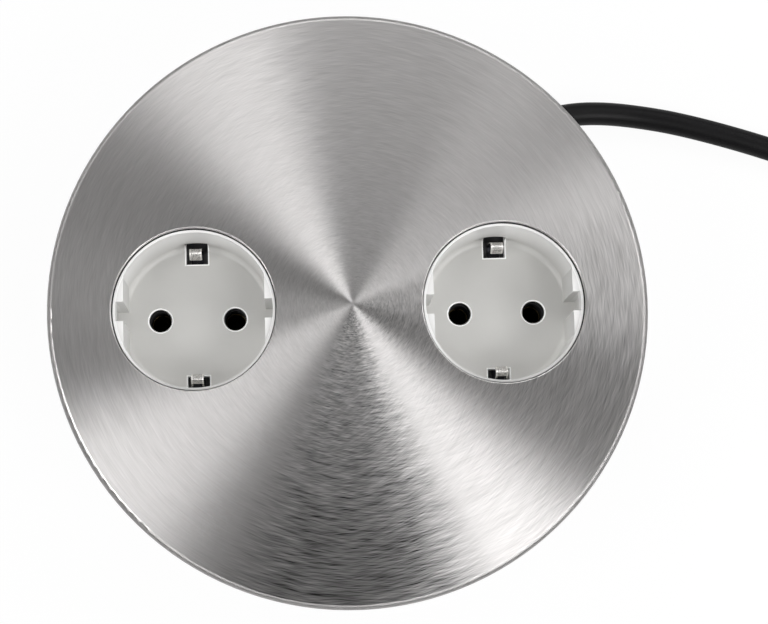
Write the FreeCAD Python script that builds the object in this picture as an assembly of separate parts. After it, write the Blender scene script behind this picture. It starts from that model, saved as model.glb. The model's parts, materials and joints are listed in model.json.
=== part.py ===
"""Round built-in double socket with a turning steel cover, as separate pieces.

Millimetres, +Z up. The origin lies in the middle of the underside. The two sockets lie on the
X axis. The cover turns a quarter turn about Z and closes both. The unit drops into a round
cut-out and hangs on its flange; two swinging dogs pull it down. The supply lead leaves the
wiring chamber at the back right.
"""
import FreeCAD, Part
import math
import os

V = FreeCAD.Vector
UP = V(0, 0, 1)
ORIGIN = V(0, 0, 0)

# Steel cover
cover_diameter = 148.0
cover_sheet = 1.2
cover_edge_height = 3.6
cover_edge_round = 1.4
aperture_diameter = 40.4
aperture_round = 0.25
aperture_web = 15.6
cover_travel = 90.0

# Socket faces, earthed household type for 4.8 mm pins
recess_diameter = 38.6
recess_depth = 17.5
recess_corner = 1.6
collar_wall = 0.6
collar_stand = 0.8
insert_wall = 1.7
insert_floor = 2.4
insert_lip = 2.0
insert_lip_height = 2.0
guide_half_distance = 17.3
groove_width = 4.8
groove_web = 0.7
pin_pitch = 19.0
pin_entry_diameter = 5.6
pin_entry_chamfer = 0.3
window_width = 5.6
window_inner = 14.4
window_rise = 3.6

# Pivot in the middle of the cover
pivot_diameter = 8.0
stud_flange_diameter = 16.0
stud_flange_height = 0.9
bush_wall = 1.4
bush_flange_diameter = 15.0
bush_flange_height = 1.0
hub_diameter = 18.0
hub_length = 6.0
cup_spring_height = 0.9
cup_spring_sheet = 0.35
retainer_height = 0.8
retainer_diameter = 15.0
retainer_groove = 0.6
stud_tail = 1.0

# Slide ring under the cover, with the lug that limits the turn
ring_setback = 2.0
ring_width = 8.5
lug_diameter = 3.0
lug_setback = 4.3
lug_reach = 1.2
lug_azimuth = 200.0
stop_slot_depth = 1.6

# Face plate
face_thickness = 2.4
face_ledge = 1.0
face_screw_x = 27.0
face_screw_setback = 8.0
face_screw_length = 10.0

# Housing
flange_lip = 0.7
flange_thickness = 2.6
flange_reach = 12.0
barrel_wall = 2.2
housing_floor = 2.0
chamber_diameter = 84.0
chamber_height = 12.5
bottom_thickness = 2.5
boss_radius = 3.5
rib_thickness = 1.6
bottom_screw_setback = 7.5
bottom_screw_grip = 6.0
screw_hole_depth = 8.0
gasket_thickness = 1.0
gasket_clearance = 1.2
gasket_inset = 1.1

# Contact carrier and contacts
carrier_radius = 20.5
carrier_plate = 2.5
carrier_foot_gap = 2.0
carrier_ear = (12.0, 23.0)
carrier_screw_length = 9.0
tower_height = 17.8
tower_radius = 5.4
tower_wall = 1.2
sleeve_bore = 4.9
sleeve_wall = 0.55
sleeve_slit = 0.8
sleeve_setback = 3.0
bus_offset = 6.4
bus_sheet = 0.8
bus_height = 5.0
bus_above_foot = 7.0
tail_width = 3.0
earth_sheet = 0.6
earth_width = 3.0
earth_bar_offset = 7.2
nose_radius = 14.5
nose_height = 5.8
clip_height = 8.0
clip_slot = 1.9

# Clamping dogs on long screws
clamp_setback = 10.0
clamp_screw_diameter = 4.0
clamp_head_diameter = 7.8
clamp_head_height = 2.4
clamp_pitch = 0.7
clamp_lift = 20.0
dog_length = 17.0
dog_width = 8.0
dog_height = 6.5
dog_hub_radius = 5.2
nut_diameter = 6.4
nut_height = 4.3
bay_wall = 1.6
bay_roof = 3.0
bay_floor = 1.5

# Terminals in the wiring chamber
pole_pitch = 8.0
terminal_width = 28.0
terminal_height = 9.0
terminal_back = -9.5
terminal_screw_radius = 1.9
terminal_front = 10.5
wire_diameter = 2.6
wire_rise = 4.9
foot_back = -3.0
foot_front = 4.0

# Supply lead
cord_diameter = 6.5
exit_azimuth = 49.0
relief_tip = 60.5
relief_root_diameter = 12.0
relief_tip_diameter = 8.8
cord_inner_end = 29.0
saddle_width = 5.0
saddle_thickness = 2.4
saddle_shank = 1.2
coil_centre = (178.0, -19.5)
coil_turns = 6
coil_start = 71.0
coil_end = 110.0
coil_mean_radius = 36.5
coil_pitch = 7.0
coil_sides = 8

# Plug on the end of the lead
plug_radius = 18.5
plug_length = 52.0
plug_head_length = 18.0
plug_head_round = 1.5
plug_tail_radius = 4.4
plug_tail_length = 12.0
plug_groove_depth = 2.6
plug_groove_width = 6.0
plug_strip_width = 5.2
plug_strip_sheet = 1.0
plug_pin_length = 19.0
plug_pin_diameter = 4.8
pin_root = 4.0
pin_neck = 2.0
pin_neck_rise = 0.3

# Screws
screw_diameter = 3.0
screw_head_diameter = 5.6
screw_head_height = 1.7

# Clearances
cover_gap = 0.4
ring_gap = 0.3
flat_gap = 0.1
shaft_gap = 0.06
hole_gap = 0.2
loose_gap = 0.4

# Heights, from the underside up
z_chamber = bottom_thickness
z_floor_under = z_chamber + chamber_height
z_floor = z_floor_under + housing_floor
z_tower = z_floor + carrier_foot_gap
z_plate = z_tower + tower_height
z_sleeve = z_plate - sleeve_setback
z_carrier = z_plate + carrier_plate
z_recess = z_carrier + insert_floor
z_rim = z_recess + recess_depth
z_cover_under = z_rim + cover_gap
z_top = z_cover_under + cover_sheet
z_face = z_rim - collar_stand
z_face_under = z_face - face_thickness
z_edge = z_top - cover_edge_height
z_flange = z_edge - cover_gap
z_flange_under = z_flange - flange_thickness
z_worktop = z_flange_under - gasket_thickness
z_ring = z_flange + ring_gap

# Radii that several pieces share
cover_radius = cover_diameter / 2
aperture_radius = aperture_diameter / 2
socket_x = cover_radius - aperture_web - aperture_radius
ring_outer = cover_radius - cover_sheet - ring_setback
ring_inner = ring_outer - ring_width
lug_radius = ring_outer - lug_setback
recess_radius = recess_diameter / 2
collar_radius = recess_radius + collar_wall
insert_radius = recess_radius + insert_wall
barrel_radius = cover_radius - flange_reach
barrel_inner = barrel_radius - barrel_wall
face_radius = barrel_inner + face_ledge
face_screw_radius = barrel_radius - face_screw_setback
clamp_radius = barrel_radius - clamp_setback
chamber_radius = chamber_diameter / 2
chamber_inner = chamber_radius - barrel_wall
bottom_screw_radius = chamber_radius - bottom_screw_setback
flange_radius = cover_radius - flange_lip
gasket_inner = barrel_radius + gasket_clearance
gasket_outer = flange_radius - gasket_inset
pivot_radius = pivot_diameter / 2
bush_radius = pivot_radius + shaft_gap + bush_wall
entry_radius = pin_entry_diameter / 2
screw_radius = screw_diameter / 2
z_cord = z_chamber + chamber_height / 2
z_bay_roof = z_face_under - clamp_head_height - bay_roof - 1.0
z_dog = z_floor + 2.5


def at(shape, x, y, z=0.0):
    moved = shape.copy()
    moved.translate(V(x, y, z))
    return moved


def turned_by(shape, degrees):
    moved = shape.copy()
    moved.rotate(ORIGIN, UP, degrees)
    return moved


def cyl(radius, low, high, x=0.0, y=0.0):
    return Part.makeCylinder(radius, high - low, V(x, y, low))


def pipe_ring(inner, outer, low, high, x=0.0, y=0.0):
    return cyl(outer, low, high, x, y).cut(cyl(inner, low, high, x, y))


def block(x0, x1, y0, y1, z0, z1):
    return Part.makeBox(x1 - x0, y1 - y0, z1 - z0, V(x0, y0, z0))


def lathe(profile, axis=UP):
    """Revolve a closed outline of (radius, height) pairs about Z, or about X for axis X."""
    if axis is UP:
        points = [V(r, 0, h) for r, h in profile]
    else:
        points = [V(h, 0, r) for r, h in profile]
    face = Part.Face(Part.makePolygon(points + [points[0]]))
    return face.revolve(ORIGIN, axis, 360)


def ribbon(points, thickness, width):
    """A bent strip: a line of (y, z) points thickened in its plane, width across X."""
    rows = [V(0, y, z) for y, z in points]
    sides = {1: [], -1: []}
    for i, here in enumerate(rows):
        before = (here - rows[i - 1]).normalize() if i else None
        after = (rows[i + 1] - here).normalize() if i + 1 < len(rows) else None
        way = (before or after) + (after or before)
        way = way.normalize()
        normal = V(0, -way.z, way.y)
        lean = way.dot(after or before)
        for side in sides:
            sides[side].append(here + normal * (side * thickness / 2 / lean))
    outline = sides[1] + sides[-1][::-1]
    face = Part.Face(Part.makePolygon(outline + [outline[0]]))
    face.translate(V(-width / 2, 0, 0))
    return face.extrude(V(width, 0, 0))


def screw_down(x, y, z_seat, length, countersunk=True):
    """A screw whose head lies under the surface at z_seat, its shank pointing down."""
    head = screw_head_diameter / 2
    if countersunk:
        top = lathe([(0, 0), (head, 0), (screw_radius, -screw_head_height), (0, -screw_head_height)])
    else:
        top = cyl(head, 0, screw_head_height)
    return at(top.fuse(cyl(screw_radius, -length, 0)).removeSplitter(), x, y, z_seat)


def sink_down(x, y, z_seat, depth):
    """The hole that a countersunk screw needs, from z_seat down."""
    head = screw_head_diameter / 2 + hole_gap
    shank = screw_radius + hole_gap
    cone = lathe([(0, 0), (head, 0), (shank, -screw_head_height), (shank, -depth), (0, -depth)])
    return at(cone, x, y, z_seat)


def flipped(shape):
    """Turn a screw over, so that it points up from the underside."""
    moved = shape.copy()
    moved.rotate(ORIGIN, V(1, 0, 0), 180)
    return moved


def polar(radius, azimuth):
    a = math.radians(azimuth)
    return radius * math.cos(a), radius * math.sin(a)


def face_screw_azimuths():
    """Screws of the face plate, a fixed way to the left and right of the clamps."""
    first = math.degrees(math.acos(face_screw_x / face_screw_radius))
    return first, 180 - first, 180 + first, 360 - first


def both_sockets(shape):
    return at(shape, -socket_x, 0), at(shape, socket_x, 0)


def rounded_path(points, name):
    """Straight runs joined by tangent arcs, each as large as its two runs allow."""
    rows = [V(*p) for p in points]
    edges = []
    radii = []
    start = rows[0]
    for before, here, after in zip(rows, rows[1:], rows[2:]):
        a = (before - here).normalize()
        b = (after - here).normalize()
        half_turn = (math.pi - math.acos(max(-1, min(1, a.dot(b))))) / 2
        reach = 0.45 * min((before - here).Length, (after - here).Length)
        radius = reach / math.tan(half_turn)
        first = here + a * reach
        last = here + b * reach
        middle = (a + b).normalize()
        centre_distance = math.hypot(radius, reach)
        inside = here + middle * (centre_distance - radius)
        edges.append(Part.LineSegment(start, first).toShape())
        edges.append(Part.Arc(first, inside, last).toShape())
        radii.append(radius)
        start = last
    edges.append(Part.LineSegment(start, rows[-1]).toShape())
    path = Part.Wire(edges)
    print(name, "radii", [round(r, 1) for r in radii], "length", round(path.Length, 1))
    return path


def tube(points, diameter, name):
    path = rounded_path(points, name)
    way = (V(*points[1]) - V(*points[0])).normalize()
    section = Part.Wire(Part.makeCircle(diameter / 2, V(*points[0]), way))
    solid = path.makePipeShell([section], True, False)
    expected = math.pi * diameter ** 2 / 4 * path.Length
    print(name, "volume over section times length", round(solid.Volume / expected, 4))
    return solid, path.Length


def make_cover():
    """Drawn steel disc with a turned-down edge and two round apertures."""
    outer = cyl(cover_radius, z_edge, z_top)
    rim = [e for e in outer.Edges if abs(e.BoundBox.ZMin - z_top) < 1e-6 and e.Closed]
    outer = outer.makeFillet(cover_edge_round, rim[:1])
    shell = outer.cut(cyl(cover_radius - cover_sheet, z_edge, z_cover_under))
    holes = [cyl(aperture_radius, z_cover_under, z_top, x, 0) for x in (-socket_x, socket_x)]
    shell = shell.cut(Part.makeCompound(holes))
    lips = [
        e for e in shell.Edges
        if e.Closed and abs(e.BoundBox.XLength - aperture_diameter) < 0.01
        and abs(e.BoundBox.ZMin - z_top) < 1e-6
    ]
    return shell.makeFillet(aperture_round, lips)


def make_pivot():
    """Stud welded under the cover, its bush, cup spring and retaining ring."""
    z_stud = z_cover_under - stud_flange_height
    z_hub = z_face_under - hub_length
    z_bush = z_hub - bush_flange_height
    z_spring = z_bush - flat_gap - cup_spring_height
    z_retainer = z_spring - flat_gap - retainer_height
    z_tail = z_retainer - stud_tail
    groove = pivot_radius - retainer_groove
    stud = lathe([
        (0, z_cover_under), (stud_flange_diameter / 2, z_cover_under),
        (stud_flange_diameter / 2, z_stud), (pivot_radius, z_stud),
        (pivot_radius, z_retainer + retainer_height), (groove, z_retainer + retainer_height),
        (groove, z_retainer), (pivot_radius, z_retainer),
        (pivot_radius, z_tail + 0.5), (pivot_radius - 0.5, z_tail), (0, z_tail),
    ])
    bore = pivot_radius + shaft_gap
    bush = lathe([
        (bore, z_face), (bush_radius, z_face), (bush_radius, z_hub),
        (bush_flange_diameter / 2, z_hub), (bush_flange_diameter / 2, z_bush), (bore, z_bush),
    ])
    inner = pivot_radius + hole_gap
    outer = bush_flange_diameter / 2 - 0.4
    rise = cup_spring_height - cup_spring_sheet
    spring = lathe([
        (inner, z_spring + rise), (outer, z_spring),
        (outer, z_spring + cup_spring_sheet), (inner, z_spring + cup_spring_height),
    ])
    retainer = pipe_ring(groove, retainer_diameter / 2, z_retainer, z_retainer + retainer_height)
    mouth = pivot_radius * 0.75
    gap = block(0, retainer_diameter, -mouth, mouth, z_retainer, z_spring)
    retainer = retainer.cut(gap)
    return stud, bush, spring, retainer


def make_slide_ring():
    ring = pipe_ring(ring_inner, ring_outer, z_ring, z_cover_under)
    x, y = polar(lug_radius, lug_azimuth)
    lug = cyl(lug_diameter / 2, z_flange - lug_reach, z_ring, x, y)
    return ring.fuse(lug).removeSplitter()


def make_stop_slot():
    """The arc in the flange that the lug runs in, a quarter turn long."""
    half = lug_diameter / 2 + ring_gap
    low = z_flange - stop_slot_depth
    band = pipe_ring(lug_radius - half, lug_radius + half, low, z_flange)
    wedge = Part.makeCylinder(barrel_radius * 2, stop_slot_depth, V(0, 0, low), UP, cover_travel)
    track = turned_by(band.common(wedge), lug_azimuth)
    ends = [cyl(half, low, z_flange, *polar(lug_radius, lug_azimuth + a)) for a in (0, cover_travel)]
    return track.fuse(ends)


def make_face_plate():
    hub = cyl(hub_diameter / 2, z_face_under - hub_length, z_face)
    plate = cyl(face_radius, z_face_under, z_face).fuse(hub)
    cuts = [cyl(bush_radius, z_face_under - hub_length, z_face)]
    for x in (-socket_x, socket_x):
        cuts.append(cyl(collar_radius + hole_gap, z_face_under, z_face, x, 0))
    for azimuth in face_screw_azimuths():
        x, y = polar(face_screw_radius, azimuth)
        cuts.append(sink_down(x, y, z_face, face_thickness))
    for side in (-1, 1):
        key = clamp_head_diameter / 2 + loose_gap
        cuts.append(cyl(key, z_face_under, z_face, 0, side * clamp_radius))
    return plate.cut(Part.makeCompound(cuts)).removeSplitter()


def make_insert():
    """White socket moulding: recess with guide flats, pin entries and earth windows."""
    body = cyl(insert_radius, z_carrier, z_face_under)
    lip = cyl(insert_radius + insert_lip, z_face_under - insert_lip_height, z_face_under)
    for x in (-socket_x, socket_x):
        lip = lip.common(cyl(barrel_inner - hole_gap, z_carrier, z_face_under, x, 0))
        lip = lip.cut(cyl(hub_diameter / 2 + hole_gap, z_carrier, z_face_under, x, 0))
    collar = cyl(collar_radius, z_face_under, z_rim)
    solid = body.fuse([lip, collar]).removeSplitter()
    hollow = cyl(recess_radius, z_recess, z_rim)
    base = [e for e in hollow.Edges if e.Closed and abs(e.BoundBox.ZMax - z_recess) < 1e-6]
    hollow = hollow.makeFillet(recess_corner, base[:1])
    flat, groove = guide_half_distance, groove_width / 2
    guides = block(-flat, flat, -insert_radius, insert_radius, z_recess, z_rim)
    grooves = block(-recess_radius, recess_radius, -groove, groove, z_recess, z_rim)
    hollow = hollow.common(guides.fuse(grooves))
    reach = insert_radius - groove_web
    pocket = block(-reach, reach, -groove, groove, z_recess, z_face_under - 1.0)
    solid = solid.cut(hollow).cut(pocket)
    cuts = []
    for side in (-1, 1):
        x = side * pin_pitch / 2
        entry = lathe([
            (0, z_recess), (entry_radius + pin_entry_chamfer, z_recess),
            (entry_radius, z_recess - pin_entry_chamfer), (entry_radius, z_carrier), (0, z_carrier),
        ])
        cuts.append(at(entry, x, 0))
        near, far = sorted((side * window_inner, side * insert_radius))
        half = window_width / 2
        cuts.append(block(-half, half, near, far, z_carrier, z_recess + window_rise))
    return solid.cut(Part.makeCompound(cuts)).removeSplitter()


def make_carrier():
    """Black contact carrier across both sockets: plate, four towers, ears and grooves."""
    plate = block(-socket_x, socket_x, -carrier_radius, carrier_radius, z_plate, z_carrier)
    ends = [cyl(carrier_radius, z_plate, z_carrier, x, 0) for x in (-socket_x, socket_x)]
    ears = []
    for sx in (-1, 1):
        for sy in (-1, 1):
            x, y = sx * carrier_ear[0], sy * carrier_ear[1]
            near, far = sorted((0, y))
            ears.append(cyl(boss_radius, z_plate, z_carrier, x, y))
            ears.append(block(x - boss_radius, x + boss_radius, near, far, z_plate, z_carrier))
    towers = []
    bores = []
    for x in pole_places():
        towers.append(cyl(tower_radius, z_tower, z_plate, x, 0))
        bores.append(cyl(tower_radius - tower_wall, z_tower, z_sleeve, x, 0))
        bores.append(cyl(entry_radius - hole_gap, z_sleeve, z_carrier, x, 0))
    solid = plate.fuse(ends + ears + towers).removeSplitter()
    z_bus = z_tower + bus_above_foot + bus_height + loose_gap
    for sign, places in ((-1, line_places()), (1, neutral_places())):
        near, far = sorted((sign * tower_radius * 1.1, sign * sleeve_bore / 2))
        for x in places:
            bores.append(block(x - 1.4, x + 1.4, near, far, z_tower, z_bus))
    z_groove = z_carrier - earth_sheet - flat_gap
    wide = earth_width / 2 + hole_gap
    for x in (-socket_x, socket_x):
        bores.append(block(x - wide, x + wide, -window_far(), window_far(), z_groove, z_carrier))
    low, high = earth_bar_offset - wide, earth_bar_offset + wide
    bores.append(block(-socket_x, socket_x, low, high, z_groove, z_carrier))
    bores.append(block(-wide, wide, low, high, z_plate, z_carrier))
    for sx in (-1, 1):
        for sy in (-1, 1):
            x, y = sx * carrier_ear[0], sy * carrier_ear[1]
            bores.append(cyl(screw_radius + hole_gap, z_plate, z_carrier, x, y))
    return solid.cut(Part.makeCompound(bores)).removeSplitter()


def window_far():
    return (window_inner + recess_radius) / 2 + earth_sheet + hole_gap


def line_places():
    return -socket_x - pin_pitch / 2, socket_x - pin_pitch / 2


def neutral_places():
    return -socket_x + pin_pitch / 2, socket_x + pin_pitch / 2


def pole_places():
    return line_places() + neutral_places()


def make_pole(places, sign, tail_x):
    """Two slit sleeves on one brass strip, with the tail that drops to its terminal."""
    outer = sleeve_bore / 2 + sleeve_wall
    z_low = z_tower + bus_above_foot
    z_high = z_low + bus_height
    y = sign * bus_offset
    back, front = y - bus_sheet / 2, y + bus_sheet / 2
    strip = block(places[0] - 1.2, places[1] + 1.2, back, front, z_low, z_high)
    left, right = tail_x - tail_width / 2, tail_x + tail_width / 2
    tail = block(left, right, back, front, foot_height(), z_low)
    parts = [tail, foot(tail_x, back, front, bus_sheet)]
    near, far = sorted((y, sign * (outer - sleeve_wall / 2)))
    for x in places:
        parts.append(block(x - 1.2, x + 1.2, near, far, z_low, z_high))
        sleeve = pipe_ring(sleeve_bore / 2, outer, z_tower + 1.0, z_sleeve - flat_gap, x, 0)
        slit_near, slit_far = sorted((0, -sign * outer * 1.1))
        slit = block(x - sleeve_slit / 2, x + sleeve_slit / 2, slit_near, slit_far, z_tower, z_plate)
        parts.append(sleeve.cut(slit))
    return strip.fuse(parts).removeSplitter()


def make_sleeve_springs():
    """An open steel ring round each sleeve, just above its strip."""
    inner = sleeve_bore / 2 + sleeve_wall + flat_gap / 2
    z_low = z_tower + bus_above_foot + bus_height + hole_gap
    rings = []
    for places, sign in ((line_places(), 1), (neutral_places(), -1)):
        for x in places:
            ring = pipe_ring(inner, inner + 0.5, z_low, z_low + 2.0, x, 0)
            near, far = sorted((0, sign * tower_radius))
            rings.append(ring.cut(block(x - 1.0, x + 1.0, near, far, z_low, z_low + 2.0)))
    return rings


def make_earth_clip():
    """One sprung strip under a socket floor; each end hooks over inwards into a nose."""
    middle = (window_inner + recess_radius) / 2
    leg = middle + 0.3
    z_base = z_carrier - flat_gap / 2 - earth_sheet / 2
    nose = nose_radius + earth_sheet / 2
    z_nose = z_recess + nose_height
    crown = z_recess + clip_height - earth_sheet / 2
    side = [
        (middle - 1.2, z_base), (middle - 0.3, z_base + 0.5), (middle, z_base + 1.6),
        (leg, z_recess + 1.0), (leg, crown - 1.4), (leg - 0.4, crown - 0.4),
        (leg - 1.2, crown), (nose + 0.4, crown - 0.5), (nose, z_nose),
        (nose + 0.2, z_nose - 1.2), (nose + 0.9, z_nose - 2.2),
    ]
    line = [(-y, z) for y, z in side[::-1]] + side
    clip = ribbon(line, earth_sheet, earth_width)
    half = clip_slot / 2
    for sign in (-1, 1):
        near, far = sorted((sign * (leg - earth_sheet), sign * (leg + earth_sheet)))
        clip = clip.cut(block(-half, half, near, far, z_recess - 1.0, crown - 1.4))
    return clip


def make_earth_bar():
    """Flat strip that joins both clips, with the tail to the earth terminal."""
    reach = socket_x - earth_width / 2
    z_low = z_carrier - flat_gap / 2 - earth_sheet
    y0 = earth_bar_offset - earth_width / 2
    bar = block(-reach, reach, y0, y0 + earth_width, z_low, z_low + earth_sheet)
    back, front = earth_tail()
    tail = block(-earth_width / 2, earth_width / 2, back, front, foot_height(), z_low)
    return bar.fuse([tail, foot(0, back, front, earth_sheet)]).removeSplitter()


def bay_box():
    """Inside of the front clamp bay: left, right and inner side."""
    reach = math.hypot(dog_length, dog_width / 2) + 3.0
    return -dog_hub_radius - 1.8, reach, -clamp_radius + dog_width / 2 + 1.4


def earth_tail():
    front = earth_bar_offset + earth_width / 2
    return front - earth_sheet, front


def foot(x, back, front, sheet):
    """The end of a contact's tail, bent flat over its clamping screw."""
    low = foot_height()
    half = tail_width / 2
    return block(x - half, x + half, min(back, foot_back), max(front, foot_front), low, low + sheet)


def wire_height():
    return z_floor_under - terminal_height + wire_rise


def foot_height():
    return wire_height() + wire_diameter / 2 + flat_gap


def tail_rooms(low, high):
    """Slots for the three tails, long enough to let their feet through."""
    half = tail_width / 2 + hole_gap
    spans = (
        (-pole_pitch, -bus_offset - bus_sheet / 2, foot_front),
        (0.0, foot_back, earth_tail()[1]),
        (pole_pitch, foot_back, bus_offset + bus_sheet / 2),
    )
    return [
        block(x - half, x + half, back - hole_gap, front + hole_gap, low, high)
        for x, back, front in spans
    ]


def make_housing():
    """Barrel of the black moulded housing: face screw bosses and the windows of the two clamps."""
    barrel = pipe_ring(barrel_inner, barrel_radius, z_floor, z_flange_under)
    adds = []
    holes = [clamp_room(0), clamp_room(180)]
    for azimuth in face_screw_azimuths():
        x, y = polar(face_screw_radius, azimuth)
        adds.append(cyl(boss_radius, z_floor, z_face_under, x, y))
        half = rib_thickness / 2
        web = block(face_screw_radius, barrel_inner + 1.0, -half, half, z_floor, z_flange_under - 1.0)
        adds.append(turned_by(web, azimuth))
        holes.append(cyl(screw_radius, z_face_under - face_screw_length, z_face_under, x, y))
    return barrel.fuse(adds).cut(Part.makeCompound(holes)).removeSplitter()


def make_floor():
    """Floor of the housing: posts for the carrier above, screw bosses and the lead's anvil below."""
    plate = cyl(barrel_radius, z_floor_under, z_floor)
    adds = []
    holes = tail_rooms(z_floor_under, z_floor)
    for sx in (-1, 1):
        for sy in (-1, 1):
            x, y = sx * carrier_ear[0], sy * carrier_ear[1]
            adds.append(cyl(boss_radius, z_floor, z_plate, x, y))
            holes.append(cyl(screw_radius, z_plate - screw_hole_depth, z_plate, x, y))
    for azimuth in (0, 90, 180, 270):
        x, y = polar(bottom_screw_radius, azimuth)
        adds.append(cyl(boss_radius, z_chamber, z_floor_under, x, y))
        holes.append(cyl(screw_radius, z_chamber, z_chamber + screw_hole_depth, x, y))
    half = cord_diameter / 2
    x0, x1 = saddle_span()
    anvil = block(x0, x1, -half, half, z_cord + half, z_floor_under)
    adds.append(turned_by(anvil, exit_azimuth))
    for sign in (-1, 1):
        x, y = (x0 + x1) / 2, sign * saddle_screw()
        boss = cyl(saddle_boss(), saddle_height(), z_floor_under, x, y)
        adds.append(turned_by(boss, exit_azimuth))
        hole = cyl(saddle_shank, saddle_height(), saddle_tip(), x, y)
        holes.append(turned_by(hole, exit_azimuth))
    return plate.fuse(adds).cut(Part.makeCompound(holes)).removeSplitter()


def make_flange():
    """Ring that lies on the worktop: a ledge for the face plate and the quarter-turn slot."""
    ring = pipe_ring(barrel_inner, flange_radius, z_flange_under, z_flange)
    ledge = cyl(face_radius + hole_gap, z_face_under, z_flange)
    return ring.cut(ledge).cut(make_stop_slot())


def make_chamber_wall():
    """Wall of the wiring chamber, with the hole for the strain relief."""
    wall = pipe_ring(chamber_inner, chamber_radius, z_chamber, z_floor_under)
    inside = V(chamber_inner - barrel_wall, 0, z_cord)
    neck = Part.makeCylinder(relief_neck(), barrel_wall * 3, inside, V(1, 0, 0))
    return wall.cut(turned_by(neck, exit_azimuth))


def clamp_room(turn):
    """Space that the dog swings and climbs in, open to the outside of the barrel."""
    left, right, inner = bay_box()
    room = block(left, right, -barrel_radius, inner, z_floor + bay_floor, z_bay_roof)
    return turned_by(room, turn)


def make_clamp_cage(turn):
    """Walls round the clamp's room; its roof carries the head of the long screw."""
    left, right, inner = bay_box()
    top = z_bay_roof + bay_roof
    cage = block(left - bay_wall, right + bay_wall, -barrel_radius, inner + bay_wall, z_floor, top)
    cage = cage.common(cyl(barrel_inner - hole_gap, z_floor, top))
    shank = cyl(clamp_screw_diameter / 2 + hole_gap, z_bay_roof, top, 0, -clamp_radius)
    return turned_by(cage.cut(clamp_room(0)).cut(shank), turn)


def saddle_span():
    high = chamber_inner - 4.0
    return high - saddle_width, high


def saddle_boss():
    return saddle_shank + 1.2


def saddle_height():
    """Upper face of the saddle bar, just above the underside of the lead."""
    return z_cord - cord_diameter / 2 + 1.0


def saddle_tip():
    return z_floor_under - 2.0


def saddle_screw():
    return cord_diameter / 2 + saddle_boss() + 0.2


def relief_neck():
    return relief_root_diameter / 2 - 1.4


def make_relief():
    """Tapered rubber sleeve, snapped into the chamber wall, ringed so that it bends."""
    bore = cord_diameter / 2 + shaft_gap
    root = relief_root_diameter / 2
    tip = relief_tip_diameter / 2
    neck = relief_neck()
    start = chamber_radius + 2.0
    inner = math.sqrt(chamber_inner ** 2 - root ** 2) - flat_gap
    outline = [
        (bore, inner - 2.0), (neck + 0.9, inner - 2.0), (root, inner), (neck, inner),
        (neck, chamber_radius), (root, chamber_radius), (root, start),
    ]
    rings = 3
    step = (relief_tip - start) / (rings + 1)
    for k in range(1, rings + 1):
        x = start + step * k
        r = root + (tip - root) * k / (rings + 1)
        outline += [(r, x - 1.4), (r - 0.8, x - 1.0), (r - 0.8, x), (r, x + 0.4)]
    outline += [(tip, relief_tip), (bore, relief_tip)]
    return turned_by(at(lathe(outline, V(1, 0, 0)), 0, 0, z_cord), exit_azimuth)


def make_saddle():
    x0, x1 = saddle_span()
    high = saddle_height()
    low = high - saddle_thickness
    reach = saddle_screw() + saddle_boss()
    bar = block(x0, x1, -reach, reach, low, high)
    cord = Part.makeCylinder(cord_diameter / 2, saddle_width, V(x0, 0, z_cord), V(1, 0, 0))
    hole = saddle_shank + flat_gap
    cuts = [cyl(hole, low, high, (x0 + x1) / 2, s * saddle_screw()) for s in (-1, 1)]
    return turned_by(bar.cut(Part.makeCompound(cuts + [cord])), exit_azimuth)


def make_saddle_screws():
    x0, x1 = saddle_span()
    seat = saddle_height() - saddle_thickness
    screws = []
    for sign in (-1, 1):
        head = cyl(saddle_boss(), seat - 1.1, seat)
        screw = head.fuse(cyl(saddle_shank, seat, saddle_tip() - loose_gap)).removeSplitter()
        screws.append(turned_by(at(screw, (x0 + x1) / 2, sign * saddle_screw()), exit_azimuth))
    return screws


def make_terminal_block():
    """Three-pole block under the housing floor; tails come in from above, wires from the front."""
    low = z_floor_under - terminal_height
    half = terminal_width / 2
    solid = block(-half, half, terminal_back, terminal_front, low, z_floor_under)
    cuts = tail_rooms(foot_height() - flat_gap, z_floor_under)
    depth = terminal_front - foot_back + hole_gap
    for x in (-pole_pitch, 0, pole_pitch):
        mouth = V(x, terminal_front, wire_height())
        cuts.append(Part.makeCylinder(wire_diameter / 2 + hole_gap, depth, mouth, V(0, -1, 0)))
        cuts.append(cyl(terminal_screw_radius + flat_gap, low, wire_height(), x, screw_row()))
    for x in (-pole_pitch / 2, pole_pitch / 2):
        cuts.append(block(x - 0.5, x + 0.5, terminal_back, terminal_front, low, low + 2.0))
    return solid.cut(Part.makeCompound(cuts)).removeSplitter()


def screw_row():
    return (foot_back + foot_front) / 2


def make_terminal_screws():
    """Slotted grub screws that press the cores up against the feet."""
    low = z_floor_under - terminal_height + loose_gap
    high = wire_height() - wire_diameter / 2 - flat_gap
    y = screw_row()
    screws = []
    for x in (-pole_pitch, 0, pole_pitch):
        r = terminal_screw_radius
        slot = block(x - r, x + r, y - 0.3, y + 0.3, low, low + 0.9)
        screws.append(cyl(r, low, high, x, y).cut(slot))
    return screws


def make_wire(pole, name):
    """A core from the end of the sheath to its terminal."""
    across = pole * 1.55
    lift = -1.3 if pole else 1.4
    x, y = polar(cord_inner_end, exit_azimuth)
    nx, ny = polar(across, exit_azimuth - 90)
    x, y, z = x + nx, y + ny, z_cord + lift
    back_x, back_y = polar(3.5, exit_azimuth)
    near_x, near_y = x - back_x, y - back_y
    end_x = pole * pole_pitch
    rise = wire_height() - z
    points = [
        (x, y, z), (near_x, near_y, z),
        (end_x + (near_x - end_x) * 0.22, terminal_front + 5.3 + (1 - pole) * 2.0, z + rise * 0.3),
        (end_x, terminal_front + 2.5 + (1 - pole), wire_height()), (end_x, foot_back, wire_height()),
    ]
    return tube(points, wire_diameter, name)


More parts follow.
